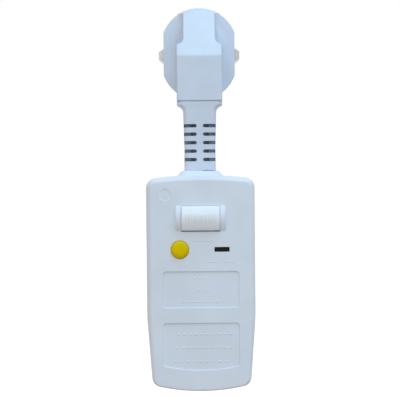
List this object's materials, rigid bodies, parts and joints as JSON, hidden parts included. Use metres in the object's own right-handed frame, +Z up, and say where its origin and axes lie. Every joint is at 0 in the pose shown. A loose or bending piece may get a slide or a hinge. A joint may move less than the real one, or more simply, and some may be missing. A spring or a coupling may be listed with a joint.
{
  "type": "rcd adapter plug",
  "caption": "Angled wall plug that carries a residual-current trip box on a slotted strain relief, with a reset key, a test button, a dark lamp window and an outlet for a flex.",
  "frame": {"origin": "middle of the plug's contact face, between the two pins", "axes": "+Z up along the hanging part, +Y into the wall along the pins, front faces -Y, +X to the right seen from the front"},
  "size_m": [0.047, 0.0725, 0.1666],
  "materials": {
    "shell": "fine moulded texture, cool white",
    "key": "smooth, cool white",
    "test": "smooth yellow",
    "soft_white": "soft moulded PVC, cool white",
    "sheath": "dark flexible sheath",
    "lens": "smoked, polished",
    "nickel": "nickel-plated",
    "brass": "bright",
    "copper": "copper, enamelled",
    "steel": "zinc-plated",
    "dark_plastic": "moulded, dark grey",
    "inner_plastic": "moulded, natural",
    "carriage_plastic": "moulded, blue-grey",
    "board": "lacquered laminate",
    "chip": "moulded epoxy",
    "component_blue": "epoxy coated",
    "component_orange": "epoxy coated",
    "component_tan": "lacquered",
    "lamp_green": "tinted epoxy",
    "core_brown": "PVC insulation",
    "core_blue": "PVC insulation",
    "core_green": "PVC insulation"
  },
  "bodies": {
    "housing": {"plug_body": "soft_white", "pin_bridge": "dark_plastic", "live_pin": "nickel", "neutral_pin": "nickel", "earth_strap": "nickel", "earth_socket": "nickel", "strain_relief": "soft_white", "flex_sheath": "sheath", "front_cover": "shell", "rear_cover": "shell", "cover_screws": "steel", "cord_bush": "dark_plastic", "window_lens": "lens", "reset_spring": "steel", "test_leaf": "brass", "test_post": "brass", "mechanism_frame": "dark_plastic", "opening_springs": "steel", "live_feed": "brass", "neutral_feed": "brass", "live_load": "brass", "neutral_load": "brass", "coil_bobbin": "inner_plastic", "coil_winding": "copper", "coil_yoke": "steel", "plunger_spring": "steel", "circuit_board": "board", "sensing_core": "dark_plastic", "status_lamp": "lamp_green", "varistor": "component_blue", "capacitor": "component_orange", "control_chip": "chip", "thyristor": "chip", "resistors": "component_tan", "terminal_block": "inner_plastic", "live_clamp": "brass", "neutral_clamp": "brass", "earth_clamp": "brass", "clamp_screws": "steel", "cord_bar": "dark_plastic", "cord_bar_screws": "steel", "live_wire": "core_brown", "neutral_wire": "core_blue", "earth_wire": "core_green", "live_out_wire": "core_brown", "neutral_out_wire": "core_blue"},
    "reset_key": {"reset_key": "key"},
    "carriage": {"contact_carriage": "carriage_plastic", "live_bridge": "copper", "neutral_bridge": "copper"},
    "latch": {"latch_plate": "steel"},
    "plunger": {"plunger": "steel"},
    "test_button": {"test_button": "test"}
  },
  "joints": [
    {"name": "reset_press", "type": "slide", "parent": "housing", "child": "reset_key", "axis": [0, 1, 0], "range_m": [0, 0.002], "stiffness_N_per_m": 900, "springref_m": -0.003, "deforming": ["reset_spring"]},
    {"name": "carriage_drop", "type": "slide", "parent": "housing", "child": "carriage", "axis": [0, 1, 0], "range_m": [0, 0.002], "deforming": ["opening_springs"]},
    {"name": "plunger_push", "type": "slide", "parent": "housing", "child": "plunger", "axis": [0, 0, 1], "range_m": [0, 0.00085], "stiffness_N_per_m": 150, "springref_m": -0.002, "deforming": ["plunger_spring"]},
    {"name": "latch_shift", "type": "slide", "parent": "carriage", "child": "latch", "axis": [0, 0, 1], "range_m": [0, 0.00085]},
    {"name": "test_press", "type": "slide", "parent": "housing", "child": "test_button", "axis": [0, 1, 0], "range_m": [0, 0.0009], "stiffness_N_per_m": 700, "springref_m": -0.0005, "deforming": ["test_leaf"]}
  ],
  "couplings": [
    {"joint": "carriage_drop", "follows": "reset_press", "ratio": 1},
    {"joint": "latch_shift", "follows": "plunger_push", "ratio": 1}
  ]
}
